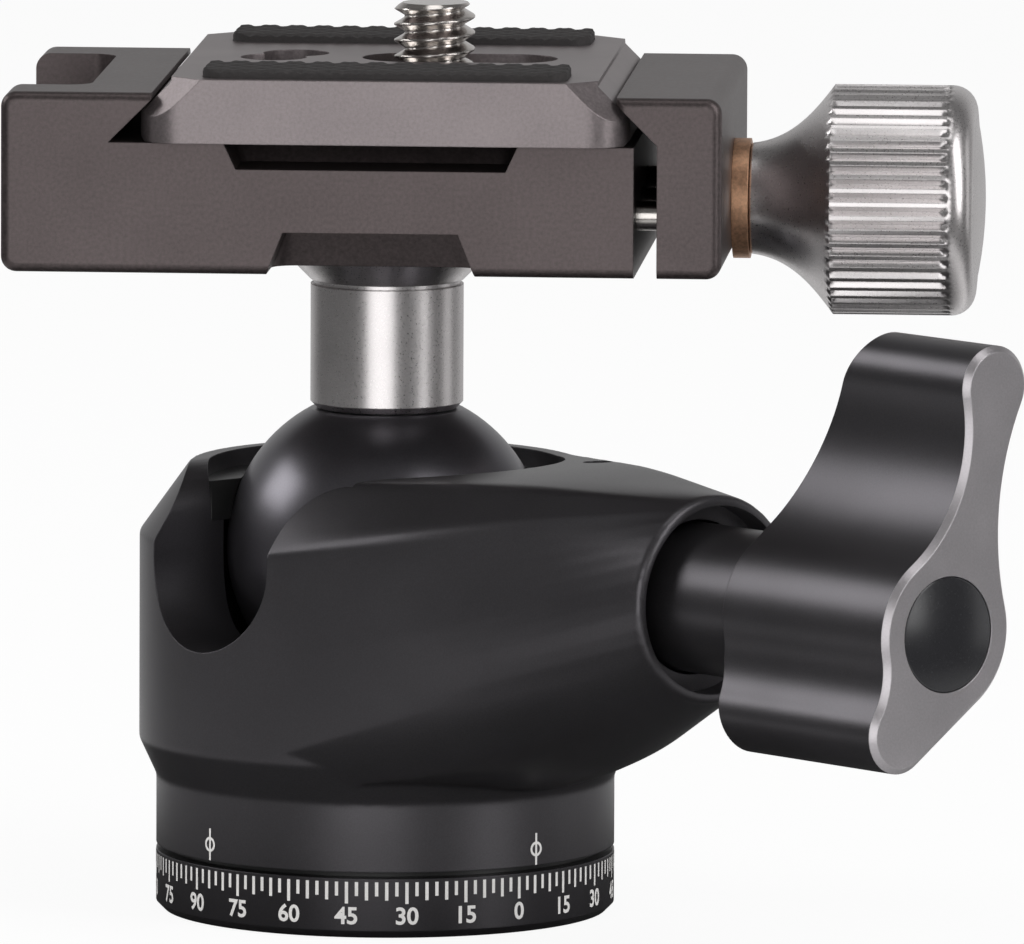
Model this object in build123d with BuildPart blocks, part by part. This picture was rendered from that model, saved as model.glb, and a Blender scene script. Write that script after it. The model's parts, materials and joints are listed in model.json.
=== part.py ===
from build123d import *
from math import acos, cos, radians, sin, sqrt
import os

# Tripod ball head, in millimetres. The origin is the centre of the base's underside, +Z is up.
# The clamp's knob points along +X, and the quick-release plate slides along Y.

# ---- Driving dimensions ----

running = 0.05              # radial clearance of turning and sliding fits
seat_gap = 0.1              # gap between flat faces that move on each other

# Panning base
base_radius = 18.0
base_height = 4.7
base_edge = 0.6
spindle_radius = 9.0
spindle_top = 11.0
pan_washer_thickness = 0.5
pan_washer_bore = 9.4
retainer_radius = 11.2
retainer_thickness = 1.6
retainer_screw_circle = 7.4
retainer_screw_radius = 0.8
retainer_shank_length = 4.2
retainer_head_radius = 1.5
retainer_head_height = 0.8

# Tripod thread, 3/8"-16
tripod_thread_radius = 4.7625
bushing_radius = 5.9
bushing_length = 7.5

# Ball and neck
ball_radius = 12.5
ball_height = 28.5
neck_radius = 6.0
ball_flat = 10.95           # height of the flat on the ball above its centre
spigot_radius = 4.0         # the neck's spigot turns in the ball
spigot_length = 6.0
neck_length = 10.1
neck_foot_chamfer = 0.5
neck_groove_width = 0.35
neck_groove_depth = 0.25

# Body
shell_radius = 18.0
shell_waist_top = 10.6
shell_flare_height = 2.9
shell_wide_radius = 19.35
bevel_start = 29.7
fit_gap = 0.02              # radial gap round pieces that are pressed or screwed in
rim_height = 35.2
rim_outer_radius = 15.4
chamber_radius = 12.9
chamber_floor = 13.4
retainer_bore = 11.6
seat_ring_radius = 14.0
seat_ring_bottom = 30.8
seat_ring_top = 33.8
set_screw_radius = 1.2      # locks the seat ring
set_screw_length = 2.0
set_screw_sink = 0.5
set_screw_across = 9.6      # to the right of the lock's axis, and outward along it
set_screw_out = 14.2

# Ball seats
cup_radius = 12.7
cup_height = 5.7
cup_hole = 6.0
ball_clearance = 0.06
spring_height = 0.8
spring_width = 0.9

# Drop notch
notch_angle = -135.0        # direction of the notch, from +X
notch_width = 13.6
notch_corner = 4.0

# Boss and main lock
lock_angle = -45.0          # direction of the lever, from +X
lock_drop = 0.35            # how far the lock's axis lies below the ball's centre
boss_root = 5.5             # where the boss starts inside the body
boss_root_sink = 0.1        # how far its root lies inside the body's wall
boss_middle = 22.0
boss_middle_half = 13.5     # half its width there
boss_middle_top_half = 8.5  # half of its flat top
boss_middle_top = 36.3
boss_middle_crease = 32.7
boss_middle_lower = 17.5
boss_middle_hip = (10.0, 13.6)      # two points on its rounded underside
boss_middle_foot = (5.0, 12.2)
boss_middle_bottom = 11.0
boss_reach = 38.4
boss_radius = 8.1
boss_edge = 1.4             # the rounded end past boss_reach
boss_joint_angles = (90, 72, 60, -30, -52, -72, -90)    # where the boss's long edges meet its round end
collar_bore = 6.0
pad_radius = 4.2
pad_back = 17.6
lock_bushing_radius = 5.8
lock_bushing_start = 19.5
lock_bushing_end = 31.4
lock_screw_radius = 4.0
lock_screw_tip_radius = 3.2
lock_screw_end = 57.4
lock_travel = 0.8           # how far the lever's screw backs out

# Lever
lever_neck_radius = 5.8
lever_neck_gap = 0.6        # between the lever's neck and the bushing behind it
lever_inner = 46.9
lever_end = 65.4
lever_hub_radius = 6.45
arm_lobe_radius = 3.2
arm_lobe_across = 4.9
arm_lobe_up = 18.5
tail_lobe_radius = 3.05
tail_lobe_across = -4.6
tail_lobe_up = -7.3
inner_flank_radius = 12.0
outer_flank_radius = 22.0
tail_flank_radius = 6.0
arm_back_mid = 3.4          # how far the back of the arm is cut away half-way up
arm_back_end = 8.6          # and at the tip
tail_back = 2.6
lever_edge = 0.45
cap_radius = 4.45
cap_depth = 1.6
cap_dome = 0.5
lever_bolt_radius = 2.0
lever_bolt_head_radius = 3.4
lever_bolt_head_height = 2.4
lever_bolt_length = 9.0

# Pan lock, at the back
pan_lock_angle = 90.0
pan_lock_height = 8.0
pan_knob_radius = 4.2
pan_knob_start = 18.7
pan_knob_length = 8.0
pan_flute_count = 22
pan_flute_depth = 0.4
pan_knob_edge = 0.7
pan_screw_radius = 1.9
pan_screw_depth = 5.5       # how far the screw reaches into the knob
pan_pad_radius = 1.6
pan_pad_length = 2.4
pan_travel = 0.5

# Clamp
clamp_depth = 36.0
clamp_left = -28.75
clamp_right = 20.4
clamp_bottom = 51.8
bed_height = 10.2
jaw_rise = 14.05            # from the clamp's underside to the top of both jaws
clamp_edge = 0.75
clamp_corner = 1.2
lip_land = 0.5              # straight stretch at the top of each jaw's lip
jaw_gap = 1.8
jaw_right = 27.2
jaw_travel = 3.5
clamp_screw_height = 4.5    # above the clamp's underside
clamp_screw_radius = 2.5
clamp_screw_pitch = 0.8
clamp_screw_end = 6.8
guide_pin_radius = 1.15
guide_pin_spacing = 27.0
guide_pin_length = 8.6      # in the clamp's body
guide_pin_seat = 4.0        # in the jaw
jaw_spring_radius = 1.6
jaw_spring_wall = 0.4
jaw_spring_spacing = 15.0
jaw_spring_pocket = 2.5
upper_pocket_width = 22.8
upper_pocket_height = 2.0
upper_pocket_depth = 7.0
upper_pocket_slant = 25.0   # lean of the pocket's walls, in degrees
lower_pocket_width = 16.2
lower_pocket_height = 3.3
lower_pocket_depth = 7.0
lower_pocket_slant = 21.5
pocket_corner = 1.9
side_pocket_depth = 6.5     # from the clamp's left end
side_pocket_length = 24.0
side_pocket_height = 8.0
neck_bolt_radius = 2.5
neck_bolt_head_radius = 4.3
neck_bolt_head_height = 2.6
neck_bolt_length = 13.0
neck_bolt_sink = 0.4        # below the bed

# Clamp knob
washer_radius = 4.7
washer_thickness = 1.3
knob_neck_radius = 4.35
knob_waist = (4.5, 6.6)     # a point on the knob's flared neck
knob_flare_end = 6.5
knob_length = 17.6
knob_shoulder = 1.9
knob_screw_depth = 9.0
grip_radius = 9.0
flute_count = 52
flute_depth = 0.42
flute_start = 6.0
flute_end = 15.8
knob_cap_radius = 6.6
knob_cap_depth = 1.0
knob_cap_dome = 0.7

# Quick-release plate
plate_width = 38.0
plate_length = 38.0
plate_thickness = 5.05
plate_centre = 1.0
plate_band = 2.2            # height of the straight edge below the dovetail
plate_rim = 0.4             # height of the straight edge above the dovetail
plate_corner = 3.3
plate_corner_cut = 2.45
plate_edge = 0.4
jaw_play = 0.12             # gap between each jaw and the dovetail
plate_travel = 12.0
slot_centre = 5.65
slot_length = 15.3
slot_width = 7.0
slot_recess_width = 11.6
slot_recess_depth = 2.9
strip_length = 28.3
strip_width = 7.4
strip_proud = 0.5
strip_sunk = 0.5
strip_inset = 1.1
strip_corner = 1.5

# Camera screw, 1/4"-20
camera_thread_radius = 3.175
camera_screw_at = 3.65
camera_screw_proud = 4.4
camera_screw_edge = 0.45
camera_shank_radius = 2.5   # plain stretch between the head and the thread
camera_thread_gap = 0.15    # from the plate's top to the thread
camera_head_radius = 5.2
camera_head_height = 1.5
camera_head_lift = 0.35     # above the clamp's bed
coin_slot_width = 1.2
coin_slot_depth = 0.7
screw_washer_thickness = 0.5
screw_washer_radius = 5.0
clip_thickness = 0.4
clip_radius = 4.5
key_hole_radius = 2.6
key_hole_centres = [(-8.9, -0.8), (-7.4, 2.6)]

# ---- Worked-out sizes ----

shell_bottom = base_height + pan_washer_thickness
flare_top = shell_waist_top + shell_flare_height
boss_end = boss_reach + boss_edge
lock_height = ball_height - lock_drop
bed = clamp_bottom + bed_height
jaw_top = clamp_bottom + jaw_rise
clamp_axis = clamp_bottom + clamp_screw_height
plate_top = bed + plate_thickness
plate_bottom = bed + running
half_width = plate_width / 2
dovetail_start = bed + plate_band
dovetail_end = plate_top - plate_rim
top_half_width = half_width - (dovetail_end - dovetail_start)
jaw_left = clamp_right + jaw_gap
knob_start = jaw_right + washer_thickness + running
neck_bottom = ball_height + ball_flat + seat_gap
neck_top = neck_bottom + neck_length
flare_radius = neck_radius + clamp_bottom - neck_top
ledge = spindle_top - seat_gap
cup_bottom = chamber_floor + spring_height + seat_gap
ball_seat_radius = ball_radius + ball_clearance
lever_neck_start = lock_bushing_end + lever_neck_gap
lever_bolt_seat = lever_end - cap_depth - seat_gap - lever_bolt_head_height

lock_dir = Vector(cos(radians(lock_angle)), sin(radians(lock_angle)), 0)
notch_dir = Vector(cos(radians(notch_angle)), sin(radians(notch_angle)), 0)
pan_lock_dir = Vector(cos(radians(pan_lock_angle)), sin(radians(pan_lock_angle)), 0)


def along(direction, distance, height):
    """Plane whose local Z runs outward along a level direction, with local Y up."""
    across = Vector(-direction.Y, direction.X, 0)
    return Plane(origin=direction * distance + Vector(0, 0, height), x_dir=across, z_dir=direction)


def finish(part, label):
    part.label = label
    export_step(part, f"parts/{label}.step")


def touching_circle(centre_a, radius_a, centre_b, radius_b, radius, side):
    """Centre of the circle that touches two circles from outside, left (1) or right (-1) of a to b."""
    line = centre_b - centre_a
    reach_a, reach_b = radius_a + radius, radius_b + radius
    forward = (reach_a**2 - reach_b**2 + line.length**2) / (2 * line.length)
    sideways = sqrt(reach_a**2 - forward**2)
    unit = line.normalized()
    return centre_a + unit * forward + Vector(-unit.Y, unit.X) * side * sideways


def flank(centre_a, radius_a, centre_b, radius_b, radius, side):
    """Start, middle and end of the hollow arc between two round lobes."""
    centre = touching_circle(centre_a, radius_a, centre_b, radius_b, radius, side)
    start = centre_a + (centre - centre_a).normalized() * radius_a
    end = centre_b + (centre - centre_b).normalized() * radius_b
    middle = centre + ((start + end) * 0.5 - centre).normalized() * radius
    return start, middle, end


def flute_outline(radius, depth, count):
    """Corners of a round section with V-shaped flutes, each flute as wide as two of its lands."""
    pitch = 360 / count
    corners = []
    for index in range(count):
        for share, corner_radius in ((-1 / 6, radius), (1 / 6, radius), (1 / 2, radius - depth)):
            angle = radians((index + share) * pitch)
            corners.append((corner_radius * cos(angle), corner_radius * sin(angle)))
    return corners


os.makedirs("parts", exist_ok=True)

# ---- Panning base ----

with BuildPart() as pan_base:
    with BuildSketch():
        Circle(base_radius)
    extrude(amount=base_height)
    chamfer(pan_base.edges().group_by(Axis.Z)[0], base_edge)
    with BuildSketch(Plane.XY.offset(base_height)):
        Circle(spindle_radius)
    extrude(amount=spindle_top - base_height)
    with BuildSketch():
        Circle(bushing_radius)
    extrude(amount=bushing_length, mode=Mode.SUBTRACT)
    with BuildSketch(Plane.XY.offset(spindle_top)):
        with PolarLocations(retainer_screw_circle, 3):
            Circle(retainer_screw_radius)
    extrude(amount=retainer_thickness - retainer_shank_length, mode=Mode.SUBTRACT)

with BuildPart() as tripod_bushing:
    with BuildSketch():
        Circle(bushing_radius)
        Circle(tripod_thread_radius, mode=Mode.SUBTRACT)
    extrude(amount=bushing_length)

with BuildPart() as pan_washer:
    with BuildSketch(Plane.XY.offset(base_height)):
        Circle(base_radius - 1)
        Circle(pan_washer_bore, mode=Mode.SUBTRACT)
    extrude(amount=pan_washer_thickness)

with BuildPart() as pan_retainer:
    with BuildSketch(Plane.XY.offset(spindle_top)):
        Circle(retainer_radius)
        with PolarLocations(retainer_screw_circle, 3):
            Circle(retainer_screw_radius, mode=Mode.SUBTRACT)
    extrude(amount=retainer_thickness)

with BuildPart() as retainer_screws:
    with PolarLocations(retainer_screw_circle, 3):
        with Locations((0, 0, spindle_top + retainer_thickness)):
            Cylinder(retainer_head_radius, retainer_head_height, align=(Align.CENTER, Align.CENTER, Align.MIN))
            Cylinder(retainer_screw_radius, retainer_shank_length, align=(Align.CENTER, Align.CENTER, Align.MAX))

finish(pan_base.part, "pan_base")
finish(tripod_bushing.part, "tripod_bushing")
finish(pan_washer.part, "pan_washer")
finish(pan_retainer.part, "pan_retainer")
finish(retainer_screws.part, "retainer_screws")

# ---- Body ----

with BuildSketch(Plane.XZ) as body_section:
    with BuildLine():
        Polyline(
            (0, shell_bottom), (shell_radius, shell_bottom), (shell_radius, shell_waist_top),
            (shell_wide_radius, flare_top), (shell_wide_radius, bevel_start),
            (rim_outer_radius, rim_height), (0, rim_height), close=True)
    make_face()

with BuildSketch(Plane.XZ) as chamber_section:
    with BuildLine():
        Polyline(
            (0, 0), (spindle_radius + running, 0), (spindle_radius + running, ledge),
            (retainer_bore, ledge), (retainer_bore, chamber_floor), (chamber_radius, chamber_floor),
            (chamber_radius, seat_ring_bottom), (seat_ring_radius + fit_gap, seat_ring_bottom),
            (seat_ring_radius + fit_gap, boss_end + lock_height), (0, boss_end + lock_height), close=True)
    make_face()

notch_plane = along(notch_dir, ball_radius / 2, ball_height)
rim_rise = rim_height - ball_height
half_notch = notch_width / 2
corner_mid = notch_corner * (1 - sin(radians(45)))
set_screw_at = lock_dir * set_screw_out + Vector(-lock_dir.Y, lock_dir.X, 0) * set_screw_across
set_screw_bottom = rim_height - set_screw_sink - set_screw_length
set_screw_plane = Plane(origin=set_screw_at + Vector(0, 0, set_screw_bottom))
with BuildSketch(notch_plane) as notch_section:
    Circle(half_notch)
    with Locations((0, rim_rise)):
        Rectangle(notch_width, rim_rise * 2)
    with BuildLine():
        left_arc = ThreePointArc(
            (-half_notch - notch_corner, rim_rise), (-half_notch - corner_mid, rim_rise - corner_mid),
            (-half_notch, rim_rise - notch_corner))
        right_arc = ThreePointArc(
            (half_notch, rim_rise - notch_corner), (half_notch + corner_mid, rim_rise - corner_mid),
            (half_notch + notch_corner, rim_rise))
        Line(left_arc @ 1, right_arc @ 0)
        Polyline(
            right_arc @ 1, (half_notch + notch_corner, 2 * rim_rise), (-half_notch - notch_corner, 2 * rim_rise),
            left_arc @ 0)
    make_face()

boss_root_half = sqrt(shell_wide_radius**2 - boss_root**2) - boss_root_sink
boss_root_top_half = sqrt(rim_outer_radius**2 - boss_root**2)
boss_root_foot_half = sqrt(shell_radius**2 - boss_root**2) - boss_root_sink
# right halves of the boss's cross-sections, from the top centre to the bottom centre
boss_sections = {
    boss_root: [
        (0, rim_height), (boss_root_top_half, rim_height), (boss_root_half, bevel_start),
        (boss_root_half, flare_top), (boss_root_foot_half, shell_waist_top),
        (boss_root_foot_half / 2, shell_waist_top), (0, shell_waist_top)],
    boss_middle: [
        (0, boss_middle_top), (boss_middle_top_half, boss_middle_top), (boss_middle_half, boss_middle_crease),
        (boss_middle_half, boss_middle_lower), boss_middle_hip, boss_middle_foot, (0, boss_middle_bottom)],
}
joints_round = [*boss_joint_angles, *(-180 - angle for angle in reversed(boss_joint_angles[:-1]))]

boss_outlines = []
for distance, right_half in boss_sections.items():
    left_half = [(-across, height) for across, height in reversed(right_half[1:-1])]
    with BuildLine(along(lock_dir, distance, 0)) as outline:
        Polyline(*right_half, *left_half, close=True)
    boss_outlines.append(Face(outline.wire()))
with BuildLine(along(lock_dir, boss_reach, lock_height)) as outline:
    for start, end in zip(joints_round, joints_round[1:]):
        CenterArc((0, 0), boss_radius, start, end - start)
boss_outlines.append(Face(outline.wire()))

with BuildPart() as boss:
    loft(boss_outlines, ruled=True)
    with BuildSketch(along(lock_dir, boss_reach, lock_height)):
        Circle(boss_radius)
    extrude(amount=boss_edge)
    boss_face = boss.faces().sort_by(Axis((0, 0, 0), lock_dir))[-1]
    fillet(boss_face.edges(), boss_edge - seat_gap)

with BuildPart() as shell:
    add(body_section.sketch)
    revolve(axis=Axis.Z)
    add(boss.part)
    add(chamber_section.sketch)
    revolve(axis=Axis.Z, mode=Mode.SUBTRACT)
    with BuildSketch(notch_plane):
        add(notch_section.sketch_local)
    extrude(amount=shell_wide_radius, mode=Mode.SUBTRACT)
    with BuildSketch(along(lock_dir, 0, lock_height)):
        Circle(pad_radius + running)
    extrude(amount=boss_end, mode=Mode.SUBTRACT)
    with BuildSketch(along(lock_dir, lock_bushing_start, lock_height)):
        Circle(lock_bushing_radius + fit_gap)
    extrude(amount=boss_end, mode=Mode.SUBTRACT)
    with BuildSketch(along(lock_dir, lock_bushing_end, lock_height)):
        Circle(collar_bore)
    extrude(amount=boss_end, mode=Mode.SUBTRACT)
    with BuildSketch(set_screw_plane):
        Circle(set_screw_radius + fit_gap)
    extrude(amount=set_screw_length + boss_edge, mode=Mode.SUBTRACT)
    with BuildSketch(along(pan_lock_dir, 0, pan_lock_height)):
        Circle(pan_pad_radius + running)
    extrude(amount=shell_radius, mode=Mode.SUBTRACT)
    with BuildSketch(along(pan_lock_dir, spindle_radius + running + pan_pad_length, pan_lock_height)):
        Circle(pan_screw_radius + running)
    extrude(amount=shell_radius, mode=Mode.SUBTRACT)

with BuildPart() as set_screw:
    with BuildSketch(set_screw_plane):
        Circle(set_screw_radius)
    extrude(amount=set_screw_length)
    with BuildSketch(set_screw_plane.offset(set_screw_length)):
        RegularPolygon(set_screw_radius / 2, 6)
    extrude(amount=-set_screw_length / 2, mode=Mode.SUBTRACT)

finish(shell.part, "shell")
finish(set_screw.part, "set_screw")

with BuildPart() as upper_seat_ring:
    with BuildSketch(Plane.XY.offset(seat_ring_bottom)):
        Circle(seat_ring_radius)
    extrude(amount=seat_ring_top - seat_ring_bottom)
    with Locations((0, 0, ball_height)):
        Sphere(ball_seat_radius, mode=Mode.SUBTRACT)
    with BuildSketch(notch_plane):
        add(notch_section.sketch_local)
    extrude(amount=shell_wide_radius, mode=Mode.SUBTRACT)
    with BuildSketch(along(lock_dir, 0, lock_height)):
        Circle(pad_radius + seat_gap)
    extrude(amount=shell_radius, mode=Mode.SUBTRACT)

with BuildPart() as ball_cup:
    with BuildSketch(Plane.XY.offset(cup_bottom)):
        Circle(cup_radius)
        Circle(cup_hole, mode=Mode.SUBTRACT)
    extrude(amount=cup_height)
    with Locations((0, 0, ball_height)):
        Sphere(ball_seat_radius, mode=Mode.SUBTRACT)

with BuildPart() as cup_spring:
    with BuildSketch(Plane.XY.offset(chamber_floor)):
        Circle(chamber_radius - seat_gap)
        Circle(chamber_radius - seat_gap - spring_width, mode=Mode.SUBTRACT)
    extrude(amount=spring_height)

finish(upper_seat_ring.part, "upper_seat_ring")
finish(ball_cup.part, "ball_cup")
finish(cup_spring.part, "cup_spring")

# ---- Ball and neck ----

with BuildPart() as ball:
    with Locations((0, 0, ball_height)):
        Sphere(ball_radius)
    split(bisect_by=Plane.XY.offset(ball_height + ball_flat), keep=Keep.BOTTOM)
    with BuildSketch(Plane.XY.offset(ball_height + ball_flat)):
        Circle(spigot_radius + running)
    extrude(amount=-spigot_length - seat_gap, mode=Mode.SUBTRACT)

with BuildPart() as neck:
    with BuildSketch(Plane.XZ):
        with BuildLine():
            Polyline(
                (0, neck_bottom - spigot_length), (spigot_radius, neck_bottom - spigot_length),
                (spigot_radius, neck_bottom), (neck_radius - neck_foot_chamfer, neck_bottom),
                (neck_radius, neck_bottom + neck_foot_chamfer), (neck_radius, neck_top - neck_groove_width),
                (neck_radius - neck_groove_depth, neck_top - neck_groove_width),
                (neck_radius - neck_groove_depth, neck_top), (neck_radius, neck_top),
                (flare_radius, clamp_bottom), (0, clamp_bottom), close=True)
        make_face()
    revolve(axis=Axis.Z)
    with BuildSketch(Plane.XY.offset(clamp_bottom)):
        Circle(neck_bolt_radius + fit_gap)
    extrude(amount=bed_height - neck_bolt_head_height - neck_bolt_sink - neck_bolt_length, mode=Mode.SUBTRACT)

finish(ball.part, "ball")
finish(neck.part, "neck")

# ---- Main lock ----

with BuildPart() as pressure_pad:
    with BuildSketch(along(lock_dir, ball_radius / 2, lock_height)):
        Circle(pad_radius)
    extrude(amount=pad_back - ball_radius / 2)
    with Locations((0, 0, ball_height)):
        Sphere(ball_seat_radius, mode=Mode.SUBTRACT)

with BuildPart() as lock_bushing:
    with BuildSketch(along(lock_dir, lock_bushing_start, lock_height)):
        Circle(lock_bushing_radius)
        Circle(lock_screw_radius + running, mode=Mode.SUBTRACT)
    extrude(amount=lock_bushing_end - lock_bushing_start)

with BuildPart() as lock_screw:
    with BuildSketch(along(lock_dir, pad_back + running, lock_height)):
        Circle(lock_screw_tip_radius)
    extrude(amount=lock_bushing_start - pad_back)
    with BuildSketch(along(lock_dir, lock_bushing_start, lock_height)):
        Circle(lock_screw_radius)
    extrude(amount=lock_screw_end - lock_bushing_start)
    with BuildSketch(along(lock_dir, lever_bolt_seat - lever_bolt_length, lock_height)):
        Circle(lever_bolt_radius + fit_gap)
    extrude(amount=lever_bolt_length, mode=Mode.SUBTRACT)

hub, arm_lobe = Vector(0, 0), Vector(arm_lobe_across, arm_lobe_up)
tail_lobe = Vector(tail_lobe_across, tail_lobe_up)
inner_start, inner_middle, inner_end = flank(
    hub, lever_hub_radius, arm_lobe, arm_lobe_radius, inner_flank_radius, 1)
outer_start, outer_middle, outer_end = flank(
    hub, lever_hub_radius, arm_lobe, arm_lobe_radius, outer_flank_radius, -1)
tail_start, tail_middle, tail_end = flank(
    hub, lever_hub_radius, tail_lobe, tail_lobe_radius, tail_flank_radius, -1)
tail_unit = tail_lobe.normalized()
tail_lean = acos((lever_hub_radius - tail_lobe_radius) / tail_lobe.length)
tangent_dir = tail_unit * cos(tail_lean) + Vector(-tail_unit.Y, tail_unit.X) * sin(tail_lean)
hub_tangent = tangent_dir * lever_hub_radius
tail_tangent = tail_lobe + tangent_dir * tail_lobe_radius

lever_plane = along(lock_dir, lever_inner, lock_height)
with BuildSketch(lever_plane) as lever_outline:
    with BuildLine():
        ThreePointArc(inner_start, inner_middle, inner_end)
        ThreePointArc(inner_end, arm_lobe + arm_lobe.normalized() * arm_lobe_radius, outer_end)
        ThreePointArc(outer_end, outer_middle, outer_start)
        ThreePointArc(outer_start, (outer_start + hub_tangent).normalized() * lever_hub_radius, hub_tangent)
        Line(hub_tangent, tail_tangent)
        ThreePointArc(tail_tangent, tail_lobe + tail_unit * tail_lobe_radius, tail_end)
        ThreePointArc(tail_end, tail_middle, tail_start)
        ThreePointArc(tail_start, (tail_start + inner_start).normalized() * lever_hub_radius, inner_start)
    make_face()

lever_side = Plane(origin=(0, 0, lock_height), x_dir=lock_dir, z_dir=lock_dir.cross(Vector(0, 0, 1)))
arm_tip = arm_lobe_up + 2 * arm_lobe_radius
tail_tip = tail_lobe_up - 2 * tail_lobe_radius
before_lever = lever_inner - seat_gap
with BuildPart() as lever:
    with BuildSketch(lever_plane):
        add(lever_outline.sketch_local)
    extrude(amount=lever_end - lever_inner)
    lever_face = lever.faces().sort_by(Axis((0, 0, 0), lock_dir))[-1]
    chamfer(lever_face.edges(), lever_edge)
    with BuildSketch(lever_side):
        with BuildLine():
            arm_back = ThreePointArc(
                (lever_inner, lever_hub_radius), (lever_inner + arm_back_mid, (lever_hub_radius + arm_tip) / 2),
                (lever_inner + arm_back_end, arm_tip))
            Polyline(arm_back @ 1, (before_lever, arm_tip), (before_lever, lever_hub_radius), arm_back @ 0)
        make_face()
        with BuildLine():
            Polyline(
                (lever_inner, -lever_hub_radius / 2), (lever_inner + tail_back, tail_tip), (before_lever, tail_tip),
                (before_lever, -lever_hub_radius / 2), close=True)
        make_face()
    extrude(amount=arm_tip, both=True, mode=Mode.SUBTRACT)
    with BuildSketch(along(lock_dir, lever_neck_start, lock_height)):
        Circle(lever_neck_radius)
    extrude(amount=lever_inner - lever_neck_start + lever_edge)
    with BuildSketch(along(lock_dir, lever_neck_start, lock_height)):
        Circle(lock_screw_radius + fit_gap)
    extrude(amount=lock_screw_end - lever_neck_start, mode=Mode.SUBTRACT)
    with BuildSketch(along(lock_dir, lock_screw_end, lock_height)):
        Circle(lever_bolt_radius + fit_gap)
    extrude(amount=lever_bolt_seat - lock_screw_end, mode=Mode.SUBTRACT)
    with BuildSketch(along(lock_dir, lever_bolt_seat, lock_height)):
        Circle(lever_bolt_head_radius + fit_gap)
    extrude(amount=lever_end - lever_bolt_seat, mode=Mode.SUBTRACT)
    with BuildSketch(along(lock_dir, lever_end - cap_depth, lock_height)):
        Circle(cap_radius + fit_gap)
    extrude(amount=cap_depth, mode=Mode.SUBTRACT)

with BuildPart() as lever_bolt:
    with BuildSketch(along(lock_dir, lever_bolt_seat, lock_height)):
        Circle(lever_bolt_head_radius)
    extrude(amount=lever_bolt_head_height)
    with BuildSketch(along(lock_dir, lever_bolt_seat, lock_height)):
        Circle(lever_bolt_radius)
    extrude(amount=-lever_bolt_length)

with BuildPart() as lever_cap:
    with BuildSketch(lever_side):
        with BuildLine():
            dome = TangentArc((lever_end + cap_dome, 0), (lever_end, cap_radius), tangent=(0, 1))
            Polyline(dome @ 1, (lever_end - cap_depth, cap_radius), (lever_end - cap_depth, 0), dome @ 0)
        make_face()
    revolve(axis=Axis((0, 0, lock_height), lock_dir))

finish(pressure_pad.part, "pressure_pad")
finish(lock_bushing.part, "lock_bushing")
finish(lock_screw.part, "lock_screw")
finish(lever.part, "lever")
finish(lever_bolt.part, "lever_bolt")
finish(lever_cap.part, "lever_cap")

# ---- Pan lock ----

with BuildPart() as pan_pad:
    with BuildSketch(along(pan_lock_dir, 0, pan_lock_height)):
        Circle(pan_pad_radius)
    extrude(amount=spindle_radius + running + pan_pad_length)
    with BuildSketch():
        Circle(spindle_radius + running)
    extrude(amount=2 * pan_lock_height, mode=Mode.SUBTRACT)

pan_screw_start = spindle_radius + 2 * running + pan_pad_length
with BuildPart() as pan_screw:
    with BuildSketch(along(pan_lock_dir, pan_screw_start, pan_lock_height)):
        Circle(pan_screw_radius)
    extrude(amount=pan_knob_start + pan_screw_depth - pan_screw_start)

with BuildPart() as pan_knob:
    with BuildSketch(along(pan_lock_dir, pan_knob_start, pan_lock_height)):
        Polygon(*flute_outline(pan_knob_radius, pan_flute_depth, pan_flute_count), align=None)
    extrude(amount=pan_knob_length)
    with BuildSketch(Plane(origin=(0, 0, pan_lock_height), x_dir=pan_lock_dir, z_dir=pan_lock_dir.cross(Vector(0, 0, 1)))):
        with BuildLine():
            Polyline(
                (pan_knob_start, 0), (pan_knob_start, pan_knob_radius - pan_knob_edge),
                (pan_knob_start + pan_knob_edge, pan_knob_radius),
                (pan_knob_start + pan_knob_length - pan_knob_edge, pan_knob_radius),
                (pan_knob_start + pan_knob_length, pan_knob_radius - pan_knob_edge),
                (pan_knob_start + pan_knob_length, 0), close=True)
        make_face()
    revolve(axis=Axis((0, 0, pan_lock_height), pan_lock_dir), mode=Mode.INTERSECT)
    with BuildSketch(along(pan_lock_dir, pan_knob_start, pan_lock_height)):
        Circle(pan_screw_radius + fit_gap)
    extrude(amount=pan_screw_depth, mode=Mode.SUBTRACT)

finish(pan_pad.part, "pan_pad")
finish(pan_screw.part, "pan_screw")
finish(pan_knob.part, "pan_knob")

# ---- Clamp ----

left_slope = plate_centre - half_width - jaw_play * sqrt(2)
right_slope = plate_centre + half_width + jaw_play * sqrt(2)
lip_bottom = jaw_top - lip_land
left_lip = left_slope + lip_bottom - dovetail_start
left_apex = left_slope - (dovetail_start - bed)
right_lip = right_slope - (lip_bottom - dovetail_start)
undercut_end = dovetail_start - (jaw_left - right_slope)

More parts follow.
